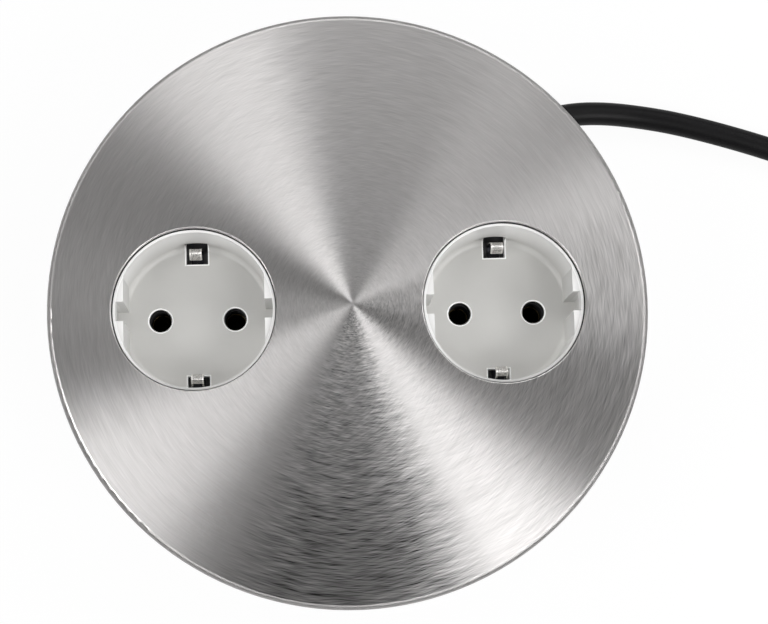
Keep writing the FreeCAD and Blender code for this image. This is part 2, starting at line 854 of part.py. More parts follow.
def make_bottom():
    plate = cyl(chamber_radius, 0, bottom_thickness)
    cuts = []
    for azimuth in (0, 90, 180, 270):
        x, y = polar(bottom_screw_radius, azimuth)
        cuts.append(flipped(sink_down(x, -y, 0, bottom_thickness)))
    return plate.cut(Part.makeCompound(cuts))


def make_bottom_screws():
    screws = []
    for azimuth in (0, 90, 180, 270):
        x, y = polar(bottom_screw_radius, azimuth)
        screws.append(flipped(screw_down(x, -y, 0, bottom_thickness + bottom_screw_grip)))
    return screws


def make_clamp():
    """Front clamp: long screw, round nut and the dog that the turning screw swings out."""
    y = -clamp_radius
    shank = clamp_screw_diameter / 2
    z_head = z_bay_roof + bay_roof + flat_gap
    z_head_top = z_head + clamp_head_height
    head = cyl(clamp_head_diameter / 2, z_head, z_head_top, 0, y)
    wide = clamp_head_diameter
    slot = block(-wide, wide, y - 0.5, y + 0.5, z_head + 1.2, z_head_top)
    screw = head.cut(slot).fuse(cyl(shank, z_floor + 1.8, z_head, 0, y)).removeSplitter()
    z_nut = z_dog + flat_gap
    nut = pipe_ring(shank + flat_gap, nut_diameter / 2, z_nut, z_nut + nut_height, 0, y)
    hub = cyl(dog_hub_radius, z_dog, z_dog + dog_height, 0, y)
    tip = dog_length - 4.0
    z_dog_top = z_dog + dog_height
    side = [
        (0, z_dog + 0.6), (tip, z_dog + 2.4), (dog_length, z_dog + 2.4), (dog_length, z_dog_top),
        (dog_length - 0.8, z_dog_top - 1.0), (dog_length - 2.0, z_dog_top),
        (dog_length - 2.8, z_dog_top - 1.0), (tip, z_dog_top),
        (dog_hub_radius, z_dog_top - 1.2), (0, z_dog_top - 1.2),
    ]
    points = [V(px, y - dog_width / 2, pz) for px, pz in side]
    arm = Part.Face(Part.makePolygon(points + [points[0]])).extrude(V(0, dog_width, 0))
    dog = hub.fuse(arm).removeSplitter()
    z_pocket = z_nut + nut_height + flat_gap
    dog = dog.cut(cyl(nut_diameter / 2 + shaft_gap, z_dog, z_pocket, 0, y))
    dog = dog.cut(cyl(shank + loose_gap, z_dog, z_dog + dog_height, 0, y))
    return screw, nut, dog


def spiral(phi):
    """A point of the put-away coil: in on the lower layer, out again on the upper one."""
    turn = coil_total()
    out = coil_mean_radius + coil_pitch * turn / (8 * math.pi)
    radius = out - coil_pitch * min(phi, turn - phi) / (2 * math.pi)
    share = max(0.0, min(1.0, 0.5 + (phi - turn / 2) / math.pi))
    height = cord_diameter / 2 + coil_pitch * share * share * (3 - 2 * share)
    angle = math.radians(coil_start) - phi
    x, y = coil_centre
    return V(x + radius * math.cos(angle), y + radius * math.sin(angle), height)


def coil_total():
    return math.radians(360 * coil_turns + coil_start - coil_end)


def coil_heading(phi):
    small = 1e-4
    return (spiral(phi + small) - spiral(phi - small)).normalize()


def arc_through(start, way, end):
    """The arc that leaves start along way and ends at end."""
    chord = end - start
    along = chord * (1 / chord.Length)
    cosine = way.dot(along)
    aside = (way - along * cosine).normalize()
    rise = chord.Length / 2 * math.tan(math.acos(cosine) / 2)
    return Part.Arc(start, (start + end) * 0.5 + aside * rise, end).toShape()


def biarc(start, way, end, end_way):
    """Two tangent arcs from start to end."""
    chord = end - start
    spread = 2 * (1 - way.dot(end_way))
    along = chord.dot(way + end_way)
    reach = (math.sqrt(along * along + spread * chord.dot(chord)) - along) / spread
    first, last = start + way * reach, end - end_way * reach
    joint = (first + last) * 0.5
    return [arc_through(start, way, joint), arc_through(joint, (last - first).normalize(), end)]


def make_coil():
    """The put-away length: one tube on quarter-turn biarcs, with straight ends."""
    turn = coil_total()
    quarters = 2 * round(turn / math.pi)
    edges = []
    for k in range(quarters):
        a, b = turn * k / quarters, turn * (k + 1) / quarters
        edges += biarc(spiral(a), coil_heading(a), spiral(b), coil_heading(b))
    start, way = coil_lead_in()
    end, _ = coil_lead_out()
    path = Part.Wire([Part.makeLine(start, spiral(0))] + edges + [Part.makeLine(spiral(turn), end)])
    corner = cord_diameter / 2 / math.cos(math.pi / coil_sides)
    side = way.cross(UP)
    points = []
    for k in range(coil_sides):
        angle = math.pi * (2 * k + 1) / coil_sides
        points.append(start + side * (corner * math.cos(angle)) + UP * (corner * math.sin(angle)))
    solid = path.makePipeShell([Part.makePolygon(points + [points[0]])], True, False)
    section = coil_sides * corner ** 2 / 2 * math.sin(2 * math.pi / coil_sides)
    print("cord_coil length", round(path.Length, 1), "volume over section times length",
          round(solid.Volume / (section * path.Length), 4))
    print("cord_coil least gap to itself", round(coil_gap(), 2))
    return solid, path.Length


def coil_gap():
    """Least distance between turns, centre to centre on points, less the diameter."""
    steps = 48 * coil_turns
    rows = [spiral(coil_total() * k / steps) for k in range(steps + 1)]
    apart = min(
        (rows[i] - rows[j]).Length
        for i in range(len(rows)) for j in range(i + 24, len(rows)))
    return apart - cord_diameter


def coil_lead_in():
    way = coil_heading(1e-3)
    way = V(way.x, way.y, 0).normalize()
    return spiral(0) - way * cord_diameter, way


def coil_lead_out():
    turn = coil_total()
    way = coil_heading(turn - 1e-3)
    way = V(way.x, way.y, 0).normalize()
    return spiral(turn) + way * cord_diameter, way


def cord_route():
    """The free stretch: out of the relief, down to the surface and away to the right."""
    start, second = polar(relief_tip, exit_azimuth), polar(relief_tip + 8.2, exit_azimuth)
    end, way = coil_lead_in()
    before = end - way * 17.6
    lying = cord_diameter / 2
    return [
        (*start, z_cord), (*second, z_cord), (51.44, 56.65, 8.19), (58.63, 60.0, 7.15),
        (66.32, 61.78, 5.83), (74.71, 62.22, 4.5), (84.2, 61.47, 3.33), (96.49, 59.19, lying),
        (114.4, 54.0, lying), (132.2, 47.7, lying), (150.6, 40.9, lying),
        (before.x, before.y, before.z), (end.x, end.y, end.z),
    ]


def plug_route():
    """From the top of the coil straight on, rising to the middle of the plug."""
    start, way = coil_lead_out()
    steps = ((0, 0), (8.0, 0), (16.9, 0.19), (32.0, 0.83), (40.9, 1.0), (48.9, 1.0))
    rise = plug_radius - start.z
    route = [start + way * along + UP * (rise * share) for along, share in steps]
    return [(p.x, p.y, p.z) for p in route]


def plug_frame(shape):
    """Place a plug piece, built along +X from its tail, at the end of the lead."""
    tail, before = V(*plug_route()[-1]), V(*plug_route()[-2])
    way = tail - before
    moved = turned_by(shape, math.degrees(math.atan2(way.y, way.x)))
    return at(moved, tail.x, tail.y, tail.z)


def make_plug():
    """Moulded straight plug: tapered tail, waisted grip and round head with side flats."""
    x_axis = V(1, 0, 0)
    head = plug_length - plug_head_length
    outline = [
        (0, 0), (plug_tail_radius, 0), (plug_tail_radius + 1.2, plug_tail_length),
        (plug_radius - 9.5, plug_tail_length + 4.0), (plug_radius - 7.0, head - 10.0),
        (plug_radius - 5.5, head - 3.0), (plug_radius - plug_head_round, head),
        (plug_radius, head + plug_head_round), (plug_radius, plug_length - 0.8),
        (plug_radius - 0.8, plug_length), (0, plug_length),
    ]
    body = lathe(outline, x_axis)
    flat = guide_half_distance - loose_gap
    groove_floor = plug_radius - plug_groove_depth
    cuts = []
    for sign in (-1, 1):
        near, far = sorted((sign * flat, sign * plug_radius * 1.2))
        cuts.append(block(head - 1.0, plug_length, near, far, -plug_radius, plug_radius))
        low, high = sorted((sign * groove_floor, sign * plug_radius * 1.2))
        half = plug_groove_width / 2
        cuts.append(block(head + 2.0, plug_length, -half, half, low, high))
        root = V(plug_length - pin_root, sign * pin_pitch / 2, 0)
        cuts.append(Part.makeCylinder(pin_neck, pin_root, root, x_axis))
    body = body.cut(Part.makeCompound(cuts))
    radius = plug_pin_diameter / 2
    start, end = plug_length - pin_root, plug_length + plug_pin_length
    shoulder = plug_length + pin_neck_rise
    pin = lathe([
        (0, start), (pin_neck, start), (pin_neck, shoulder), (radius, shoulder),
        (radius, end - 2.0), (radius - 1.2, end), (0, end)], x_axis)
    pins = []
    strips = []
    for sign in (-1, 1):
        pins.append(plug_frame(at(pin, 0, sign * pin_pitch / 2)))
        low, high = sorted((sign * groove_floor, sign * (groove_floor + plug_strip_sheet)))
        half = plug_strip_width / 2
        strips.append(plug_frame(block(head + 4.0, plug_length - 0.5, -half, half, low, high)))
    return plug_frame(body), pins, strips


def save(name, *solids):
    shape = solids[0] if len(solids) == 1 else Part.makeCompound(list(solids))
    if not shape.isValid():
        print("not valid:", name)
    shape.exportStep("parts/" + name + ".step")


os.makedirs("parts", exist_ok=True)

# Turning cover
stud, bush, cup_spring, retainer = make_pivot()
save("cover_disc", make_cover())
save("slide_ring", make_slide_ring())
save("pivot_stud", stud)
save("retaining_ring", retainer)
save("pivot_bush", bush)
save("cup_spring", cup_spring)

# Fixed top
save("face_plate", make_face_plate())
save("face_plate_screws", *[
    screw_down(*polar(face_screw_radius, a), z_face - flat_gap, face_screw_length) for a in face_screw_azimuths()])
insert_left, insert_right = both_sockets(make_insert())
save("socket_insert_left", insert_left)
save("socket_insert_right", insert_right)

# Contacts
save("contact_carrier", make_carrier())
save("carrier_screws", *[
    screw_down(sx * carrier_ear[0], sy * carrier_ear[1], z_carrier, carrier_screw_length, False)
    for sx in (-1, 1) for sy in (-1, 1)])
save("line_contacts", make_pole(line_places(), -1, -pole_pitch))
save("neutral_contacts", make_pole(neutral_places(), 1, pole_pitch))
save("sleeve_springs", *make_sleeve_springs())
clip_left, clip_right = both_sockets(make_earth_clip())
save("earth_clip_left", clip_left)
save("earth_clip_right", clip_right)
save("earth_bar", make_earth_bar())

# Housing
save("housing", make_housing())
save("housing_floor", make_floor())
save("housing_flange", make_flange())
save("chamber_wall", make_chamber_wall())
save("clamp_cage_front", make_clamp_cage(0))
save("clamp_cage_back", make_clamp_cage(180))
save("flange_gasket", pipe_ring(gasket_inner, gasket_outer, z_worktop, z_flange_under))
save("bottom_cover", make_bottom())
save("bottom_cover_screws", *make_bottom_screws())

# Clamps
for place, turn in (("front", 0), ("back", 180)):
    for piece, shape in zip(("screw", "nut", "dog"), make_clamp()):
        save("clamp_" + piece + "_" + place, turned_by(shape, turn))

# Wiring
save("terminal_block", make_terminal_block())
save("terminal_screws", *make_terminal_screws())
for pole, name in ((-1, "wire_line"), (0, "wire_earth"), (1, "wire_neutral")):
    save(name, make_wire(pole, name)[0])
save("cord_saddle", make_saddle())
save("cord_saddle_screws", *make_saddle_screws())
save("strain_relief", make_relief())
inner_end = V(cord_inner_end, 0, z_cord)
sheath = Part.makeCylinder(cord_diameter / 2, relief_tip - cord_inner_end, inner_end, V(1, 0, 0))
save("cord_sheath_end", turned_by(sheath, exit_azimuth))

# Lead and plug
free, free_length = tube(cord_route(), cord_diameter, "cord_free")
coil, coil_length = make_coil()
to_plug, plug_side_length = tube(plug_route(), cord_diameter, "cord_to_plug")
save("cord_free", free)
save("cord_coil", coil)
save("cord_to_plug", to_plug)
plug_body, plug_pins, plug_strips = make_plug()
save("plug_body", plug_body)
save("plug_pins", *plug_pins)
save("plug_earth_strips", *plug_strips)
print("lead length", round(free_length + coil_length + plug_side_length, 1))
print("clamp lift", clamp_lift, "screw turn", round(360 * clamp_lift / clamp_pitch, 1), "degrees")
print("overall height", round(z_top, 2), "overall width", cover_diameter)
print("socket pitch", round(2 * socket_x, 2), "barrel", round(2 * barrel_radius, 2))
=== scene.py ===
# %% [markdown]
# # A round built-in double socket
# The object is a steel disc with two household sockets, set in a worktop, with its supply lead.
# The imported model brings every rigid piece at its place. This lesson gives each piece its finish,
# models what a plain solid leaves out, and lays the lead as one smooth curve.

import json
import math

import bmesh
import bpy
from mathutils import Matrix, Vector


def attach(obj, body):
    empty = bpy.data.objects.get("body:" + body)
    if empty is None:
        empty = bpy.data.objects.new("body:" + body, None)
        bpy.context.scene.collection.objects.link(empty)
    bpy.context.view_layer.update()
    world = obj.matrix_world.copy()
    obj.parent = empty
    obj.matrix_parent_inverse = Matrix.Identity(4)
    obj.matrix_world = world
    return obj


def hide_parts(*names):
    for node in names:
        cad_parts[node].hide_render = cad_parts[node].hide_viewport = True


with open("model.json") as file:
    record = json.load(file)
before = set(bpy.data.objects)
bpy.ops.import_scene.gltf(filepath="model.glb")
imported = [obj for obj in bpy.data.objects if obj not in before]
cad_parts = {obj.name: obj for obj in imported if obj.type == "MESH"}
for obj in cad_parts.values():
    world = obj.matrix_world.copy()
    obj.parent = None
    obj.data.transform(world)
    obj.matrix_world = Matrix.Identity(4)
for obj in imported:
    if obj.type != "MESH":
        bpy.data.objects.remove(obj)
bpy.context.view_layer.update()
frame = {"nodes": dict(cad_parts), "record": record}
nodes = frame["nodes"]
MM = 0.001

# %% [markdown]
# ## Where the camera stands
# The picture was taken from almost straight above, a little from the front, so the sockets show
# their floors and a bit of one wall. A long lens keeps the disc nearly round. The camera stands
# half a metre up and leans by about nine degrees.

# %% Camera
CAMERA_PLACE = (-0.0133, -0.0692, 0.4972)
CAMERA_LEAN = (8.832, -2.568, -1.767)
SENSOR_WIDTH, LENS = 36.0, 84.375
NEAREST = 0.01

camera_data = bpy.data.cameras.new("top_camera")
camera = bpy.data.objects.new("top_camera", camera_data)
bpy.context.scene.collection.objects.link(camera)
camera.location = CAMERA_PLACE
camera.rotation_euler = [math.radians(angle) for angle in CAMERA_LEAN]
camera_data.sensor_width, camera_data.lens = SENSOR_WIDTH, LENS
camera_data.clip_start = NEAREST
bpy.context.scene.camera = camera
print("camera", CAMERA_PLACE[2], "m up, lens", LENS, "mm")

# %% [markdown]
# ## The supply lead
# A lead is a length of something flexible. It leaves the rubber sleeve level, sinks to the table
# in a wide bend and runs off to the right. What the picture doesn't show is put away as a flat
# coil of two layers, with the plug beside it. One NURBS curve follows the points of the route:
# the curve rounds each corner by itself, so no bend looks like bent wire.

# %% Route of the lead, in millimetres
CORD_THICK = 6.5
LYING = CORD_THICK / 2
FREE_ROUTE = [
    (39.69, 45.66, 8.75), (45.07, 51.85, 8.75), (51.44, 56.65, 8.19), (58.63, 60.0, 7.15),
    (66.32, 61.78, 5.83), (74.71, 62.22, 4.5), (84.2, 61.47, 3.33), (96.49, 59.19, LYING),
    (114.4, 54.0, LYING), (132.2, 47.7, LYING), (150.6, 40.9, LYING), (170.65, 33.17, LYING),
]
PLUG_ROUTE = [
    (175.49, 29.78, 10.25), (184.15, 33.18, 11.8), (197.83, 38.55, 17.1), (206.12, 41.8, 18.5),
    (213.56, 44.72, 18.5),
]
COIL_CENTRE = (178.0, -19.5)
COIL_MEAN_RADIUS, COIL_PITCH = 36.5, 7.0
COIL_TURNS, COIL_ENTRY, COIL_EXIT = 6, 71, 110
COIL_TURN = math.radians(COIL_TURNS * 360 + COIL_ENTRY - COIL_EXIT)
POINTS_PER_TURN = 24


def coil_point(turned):
    """A point of the put-away coil: inwards on the lower layer, outwards on the upper one."""
    outer = COIL_MEAN_RADIUS + COIL_PITCH * COIL_TURN / (8 * math.pi)
    radius = outer - COIL_PITCH * min(turned, COIL_TURN - turned) / (2 * math.pi)
    share = max(0.0, min(1.0, 0.5 + (turned - COIL_TURN / 2) / math.pi))
    height = LYING + COIL_PITCH * share * share * (3 - 2 * share)
    angle = math.radians(COIL_ENTRY) - turned
    x, y = COIL_CENTRE
    return x + radius * math.cos(angle), y + radius * math.sin(angle), height


coil_count = round(COIL_TURN / math.tau * POINTS_PER_TURN)
coil_route = [coil_point(COIL_TURN * k / coil_count) for k in range(coil_count + 1)]
route = FREE_ROUTE + coil_route + PLUG_ROUTE
print("lead points", len(route), "of which coiled", len(coil_route))

# %% The lead as one round tube
CORD_DIAMETER = CORD_THICK * MM

lead_curve = bpy.data.curves.new("supply_lead", "CURVE")
lead_curve.dimensions = "3D"
lead_line = lead_curve.splines.new("NURBS")
lead_line.points.add(len(route) - 1)
for point, place in zip(lead_line.points, route):
    point.co = (*(c * MM for c in place), 1.0)
    point.radius = CORD_DIAMETER / 2
lead_line.order_u = 3
lead_line.use_endpoint_u = True
lead_line.resolution_u = 8
lead_curve.bevel_depth = 1.0
lead_curve.bevel_resolution = 6
lead_curve.use_fill_caps = True
lead = bpy.data.objects.new("supply_lead", lead_curve)
bpy.context.scene.collection.objects.link(lead)
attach(lead, "housing")
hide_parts("cord_free", "cord_coil", "cord_to_plug")
print("lead", CORD_THICK, "mm thick, drawn through", len(lead_line.points), "points")

# %% [markdown]
# ## Building with nodes
# Every finish below is a small net of shader nodes. Adding, setting and linking each node by hand
# takes many lines that say little, so three helpers do it: one adds a node to a tree, one opens a
# material, and one hands back the result of a sum. A few more follow where they are first needed.

# %% Helpers for nodes


def adder(tree):
    """A shortcut that adds a node to a tree, with each input linked or set."""
    def add(kind, inputs=None, **settings):
        node = tree.nodes.new("ShaderNode" + kind)
        for key, value in settings.items():
            setattr(node, key, value)
        for key, value in (inputs or {}).items():
            if isinstance(value, bpy.types.NodeSocket):
                tree.links.new(value, node.inputs[key])
            else:
                node.inputs[key].default_value = value
        return node

    return add


def new_material(name):
    """An empty node material and the shortcut that adds its nodes."""
    material = bpy.data.materials.new(name)
    material.use_nodes = True
    material.node_tree.nodes.clear()
    return material, adder(material.node_tree)


def calc(add, operation, *values, **settings):
    """The result of a Math node."""
    return add("Math", dict(enumerate(values)), operation=operation, **settings).outputs[0]


print("helpers", adder.__name__, new_material.__name__, calc.__name__)

# %% [markdown]
# ## Floor and light
# The floor is a plain pale plane. To the camera it shows white, with a part of its own lit colour
# left in so that the object still throws a shadow on it. Brushed steel shows a lamp as a wedge
# from its middle, so each lamp stands where the picture has a bright wedge: two bright ones in
# front, and dimmer ones, most of them wider, behind and to the sides. The sky is white to the
# camera. Metal sees it white only near the horizon, because a ceiling that is white all over
# would fill the dark wedges between the lamps.

# %% Floor
FLOOR_SIZE = 4.0
FLOOR_GREY = (0.8, 0.8, 0.8, 1)
FLOOR_SHADOW_SHARE = 0.05

floor_mesh = bpy.data.meshes.new("floor")
floor_shape = bmesh.new()
bmesh.ops.create_grid(floor_shape, x_segments=1, y_segments=1, size=FLOOR_SIZE / 2)
floor_shape.to_mesh(floor_mesh)
floor_shape.free()
floor = bpy.data.objects.new("floor", floor_mesh)
bpy.context.scene.collection.objects.link(floor)

floor_material, ground = new_material("pale_floor")
lit = ground("BsdfDiffuse", {"Color": FLOOR_GREY}).outputs[0]
white = ground("Emission", {"Color": (1, 1, 1, 1), "Strength": 1.0}).outputs[0]
seen = ground("MixShader", {0: FLOOR_SHADOW_SHARE, 1: white, 2: lit}).outputs[0]
path = ground("LightPath").outputs
mirrored = calc(ground, "MAXIMUM", path["Is Glossy Ray"], path["Is Transmission Ray"])
looked_at = calc(ground, "MAXIMUM", path["Is Camera Ray"], mirrored)
both = ground("MixShader", {0: looked_at, 1: lit, 2: seen}).outputs[0]
ground("OutputMaterial", {"Surface": both})
floor_mesh.materials.append(floor_material)
print("floor", FLOOR_SIZE, "m wide")

# %% Lamps
AIM = Vector((0, 0, 0.06))
# Name, azimuth and elevation in degrees, distance, width and depth in metres, power in watts.
LAMPS = [
    ("lamp_front_right", 311, 46, 1.2, 0.46, 0.6, 8.0),
    ("lamp_front_left", 208, 46, 1.2, 0.5, 0.6, 7.8),
    ("lamp_back", 80, 42, 1.5, 1.1, 0.5, 7.2),
    ("lamp_back_left", 112, 42, 1.3, 0.42, 0.5, 2.3),
    ("lamp_left", 150, 42, 1.5, 0.8, 0.5, 2.2),
    ("lamp_back_right", 21, 42, 1.3, 0.56, 0.5, 4.6),
    ("lamp_right", 335, 42, 1.5, 1.3, 0.5, 4.4),
]
for name, azimuth, elevation, distance, width, depth, power in LAMPS:
    data = bpy.data.lights.new(name, "AREA")
    data.shape = "RECTANGLE"
    data.size, data.size_y, data.energy = width, depth, power
    a, e = math.radians(azimuth), math.radians(elevation)
    way = Vector((math.cos(a) * math.cos(e), math.sin(a) * math.cos(e), math.sin(e)))
    lamp = bpy.data.objects.new(name, data)
    lamp.location = AIM + way * distance
    lamp.rotation_euler = way.to_track_quat("Z", "Y").to_euler()
    bpy.context.scene.collection.objects.link(lamp)
print("lamps", len(LAMPS))

# %% Sky
SKY_LIGHT = 0.04
MIRRORED_BELOW = 0.15

world = bpy.data.worlds.new("studio")
bpy.context.scene.world = world
world.use_nodes = True
sky = adder(world.node_tree)
background = world.node_tree.nodes["Background"]
background.inputs["Color"].default_value = (1, 1, 1, 1)
sky_path = sky("LightPath").outputs
view_way = sky("SeparateXYZ", {0: sky("TexCoord").outputs["Generated"]}).outputs
near_horizon = calc(sky, "LESS_THAN", view_way[2], MIRRORED_BELOW)
sky_mirrored = calc(sky, "MAXIMUM", sky_path["Is Glossy Ray"], sky_path["Is Transmission Ray"])
mirrored_low = calc(sky, "MULTIPLY", sky_mirrored, near_horizon)
white_share = calc(sky, "MAXIMUM", sky_path["Is Camera Ray"], mirrored_low)
strength = calc(sky, "MAXIMUM", white_share, SKY_LIGHT)
world.node_tree.links.new(strength, background.inputs["Strength"])
bpy.context.scene.view_settings.view_transform = "Standard"
print("sky lights with", SKY_LIGHT)

# %% [markdown]
# ## Plastics, rubber and plain metal
# Moulded plastic is never one flat colour: its gloss wanders a little and the skin has a fine
# grain. One helper makes such a finish from two noises, a wide one for the gloss and the tone and
# a fine one for the grain. The patterns read object coordinates, so they stay on the piece.

# %% A helper for moulded and rolled finishes
GRAIN_HEIGHT = 0.1 * MM
WANDER_SCALE = 90.0
GLOSS_WANDER = 0.12
NOISE_LOW, NOISE_HIGH = 0.3, 0.7


def ramp(add, value, start, end, low=0.0, high=1.0):
    """A value stretched from one span to another and held at both ends."""
    return add("MapRange", {0: value, 1: start, 2: end, 3: low, 4: high}).outputs[0]


def blend(add, share, first, second):
    """A colour between two others, each given as a socket or as red, green and blue."""
    ends = [c if isinstance(c, bpy.types.NodeSocket) else (*c, 1) for c in (first, second)]
    return add("Mix", {0: share, 6: ends[0], 7: ends[1]}, data_type="RGBA").outputs[2]


def finish(name, colour, roughness, metallic=0.0, grain=0.0, grain_size=0.4, tone=0.06, **extra):
    """A finish whose tone and gloss wander a little, with a fine grain in its skin."""
    material, add = new_material(name)
    place = add("TexCoord").outputs["Object"]
    wide = add("TexNoise", {"Vector": place, "Scale": WANDER_SCALE, "Detail": 3.0}).outputs["Fac"]
    fine = add("TexNoise", {"Vector": place, "Scale": 1 / (grain_size * MM), "Detail": 2.0}).outputs["Fac"]
    dark = [c * (1 - tone) for c in colour]
    light = [min(1.0, c * (1 + tone)) for c in colour]
    least, most = roughness * (1 - GLOSS_WANDER), min(1.0, roughness * (1 + GLOSS_WANDER))
    gloss = ramp(add, wide, NOISE_LOW, NOISE_HIGH, least, most)
    skin = add("Bump", {"Height": fine, "Strength": grain, "Distance": GRAIN_HEIGHT})
    shader = add("BsdfPrincipled", {
        "Base Color": blend(add, wide, dark, light), "Roughness": gloss,
        "Normal": skin.outputs[0], "Metallic": metallic, **extra})
    add("OutputMaterial", {"Surface": shader.outputs[0]})
    return material


print("grain height", GRAIN_HEIGHT, "m")

# %% Plain finishes
black_polymer = finish("black_polymer", (0.022, 0.022, 0.024), 0.42, grain=0.25, grain_size=0.6)
grey_polymer = finish("grey_polymer", (0.5, 0.5, 0.48), 0.45, grain=0.15)
black_rubber = finish("black_rubber", (0.02, 0.02, 0.021), 0.55, grain=0.3, grain_size=0.5)
black_cord = finish(
    "black_cord", (0.005, 0.0047, 0.0052), 0.5, grain=0.3, grain_size=0.5, tone=0.2,
    **{"Specular IOR Level": 0.12})
zinc_steel = finish("zinc_steel", (0.58, 0.58, 0.56), 0.3, metallic=1.0, grain=0.1)
spring_steel = finish("spring_steel", (0.72, 0.7, 0.66), 0.22, metallic=1.0, grain=0.05)
# Painted shade: a near black steel for the foot of each earth clip, which lies in shade under the rails.
shaded_foot_steel = finish("shaded_foot_steel", (0.03, 0.03, 0.035), 0.5, metallic=1.0, grain=0.1)
cast_zinc = finish("cast_zinc", (0.45, 0.45, 0.44), 0.5, metallic=1.0, grain=0.6, grain_size=0.5)
brass = finish("brass", (0.36, 0.27, 0.14), 0.42, metallic=1.0, grain=0.08)
nickel = finish("nickel", (0.72, 0.7, 0.65), 0.16, metallic=1.0, grain=0.03)
brown_sleeve = finish("brown_sleeve", (0.2, 0.08, 0.035), 0.4)
blue_sleeve = finish("blue_sleeve", (0.04, 0.15, 0.5), 0.4)
green_yellow_sleeve = finish("green_yellow_sleeve", (0.45, 0.55, 0.06), 0.4)
lead_curve.materials.append(black_cord)
print("the lead wears", lead_curve.materials[0].name)

# %% [markdown]
# ## The white moulding
# Each socket is one moulding with two skins: a matt floor down in the recess and a glossier collar.
# The floor is painted greyer than the collar as shade, greyer the deeper a point lies in the
# recess. The floor is painted a little paler towards the front as painted light, the collar is
# painted greyer there as painted shade, and the tops of the guide flats are painted an even pale grey
# as shade. The pin entries are painted black inside as shade, and a painted white highlight goes round
# each of them and round the windows. All of it is one material that asks where on the socket a point
# lies: how high above the floor, how far from the nearest pin, window or guide flat. Both sockets are
# alike about the disc's middle, so folding x over the middle makes one rule serve both.

# %% Where a point lies on its socket
SOCKET_X = 38.2 * MM
PIN_X = 9.5 * MM
RECESS_FLOOR = 41.7 * MM
WINDOW_HALF_WIDTH, WINDOW_INNER_END = 2.8 * MM, 14.4 * MM
GUIDE_START, GUIDE_FADE, RECESS_EDGE = 16.4 * MM, 0.8 * MM, 19.2 * MM
RISE_START, RISE_END = RECESS_FLOOR + 1.0 * MM, RECESS_FLOOR + 15.0 * MM


def fold(add, value, middle):
    """Distance from zero, less a distance: both sides of a middle read alike."""
    return calc(add, "SUBTRACT", calc(add, "ABSOLUTE", value), middle)


white_polymer, mould = new_material("white_polymer")
mould_place = mould("TexCoord").outputs["Object"]
mould_x, mould_y, mould_z = mould("SeparateXYZ", {0: mould_place}).outputs
socket_side = fold(mould, mould_x, SOCKET_X)
pin_side = fold(mould, socket_side, PIN_X)
pin_place = mould("CombineXYZ", {0: pin_side, 1: mould_y}).outputs[0]
from_pin = mould("VectorMath", {0: pin_place}, operation="LENGTH").outputs["Value"]
window_side = fold(mould, socket_side, WINDOW_HALF_WIDTH)
window_near = calc(mould, "SUBTRACT", WINDOW_INNER_END, calc(mould, "ABSOLUTE", mould_y))
from_window = calc(mould, "MAXIMUM", window_side, window_near)
guide_near = ramp(mould, fold(mould, socket_side, GUIDE_START), 0.0, GUIDE_FADE)
socket_place = mould("CombineXYZ", {0: socket_side, 1: mould_y}).outputs[0]
from_socket = mould("VectorMath", {0: socket_place}, operation="LENGTH").outputs["Value"]
in_recess = calc(mould, "LESS_THAN", from_socket, RECESS_EDGE)
guide_top_shade = calc(mould, "MULTIPLY", guide_near, in_recess)
rise = ramp(mould, mould_z, RISE_START, RISE_END)
print("sockets at", SOCKET_X, "m, floor at", RECESS_FLOOR, "m")

# %% Colours of the moulding, from the floor up, with its painted shade and highlights
# Painted light and shade: the floor is paler at the front and darker at the back, the collar greyer at the
# front and whiter at the back.
FLOOR_LIT_FRONT, FLOOR_SHADED_BACK = (0.61, 0.605, 0.587), (0.52, 0.516, 0.5)
COLLAR_SHADED_FRONT, COLLAR_LIT_BACK = (0.56, 0.557, 0.55), (0.82, 0.817, 0.81)
GUIDE_SHADED_GREY, HIGHLIGHT_WHITE, HOLE_SHADE_BLACK = (0.64, 0.637, 0.63), (0.97, 0.97, 0.96), (0.012, 0.012, 0.013)
FLOOR_SHADE_SPAN, COLLAR_SHADE_SPAN = (-15 * MM, 0.0), (-19 * MM, -8 * MM)
PIN_HIGHLIGHT, PIN_SHADE_RADIUS, WINDOW_HIGHLIGHT = 3.25 * MM, 2.88 * MM, 0.3 * MM
HIGHLIGHT_HEIGHT = 1.5 * MM
SKIN_WANDER = 0.06

skin_noise = mould("TexNoise", {"Vector": mould_place, "Scale": 120.0, "Detail": 3.0}).outputs["Fac"]
# Painted shade: the moulding is greyer the deeper it lies in the recess, plus a random wander of tone.
depth_shade_and_wander = calc(mould, "MULTIPLY_ADD", skin_noise, SKIN_WANDER, rise)
# Painted light and shade from front to back on the floor and on the collar.
floor_painted_shade = blend(mould, ramp(mould, mould_y, *FLOOR_SHADE_SPAN), FLOOR_LIT_FRONT, FLOOR_SHADED_BACK)
collar_painted_shade = blend(mould, ramp(mould, mould_y, *COLLAR_SHADE_SPAN), COLLAR_SHADED_FRONT, COLLAR_LIT_BACK)
# Painted shade: the tops of the guide flats are painted a greyer white than the collar.
upper_painted_shade = blend(mould, guide_top_shade, collar_painted_shade, GUIDE_SHADED_GREY)
skin_with_painted_shade = blend(mould, depth_shade_and_wander, floor_painted_shade, upper_painted_shade)
# Painted highlight: a white ring round each pin entry and round the windows, near the floor.
pin_highlight = calc(mould, "LESS_THAN", from_pin, PIN_HIGHLIGHT)
window_highlight = calc(mould, "LESS_THAN", from_window, WINDOW_HIGHLIGHT)
near_floor = calc(mould, "LESS_THAN", mould_z, RECESS_FLOOR + HIGHLIGHT_HEIGHT)
edge_highlights = calc(mould, "MULTIPLY", calc(mould, "MAXIMUM", pin_highlight, window_highlight), near_floor)
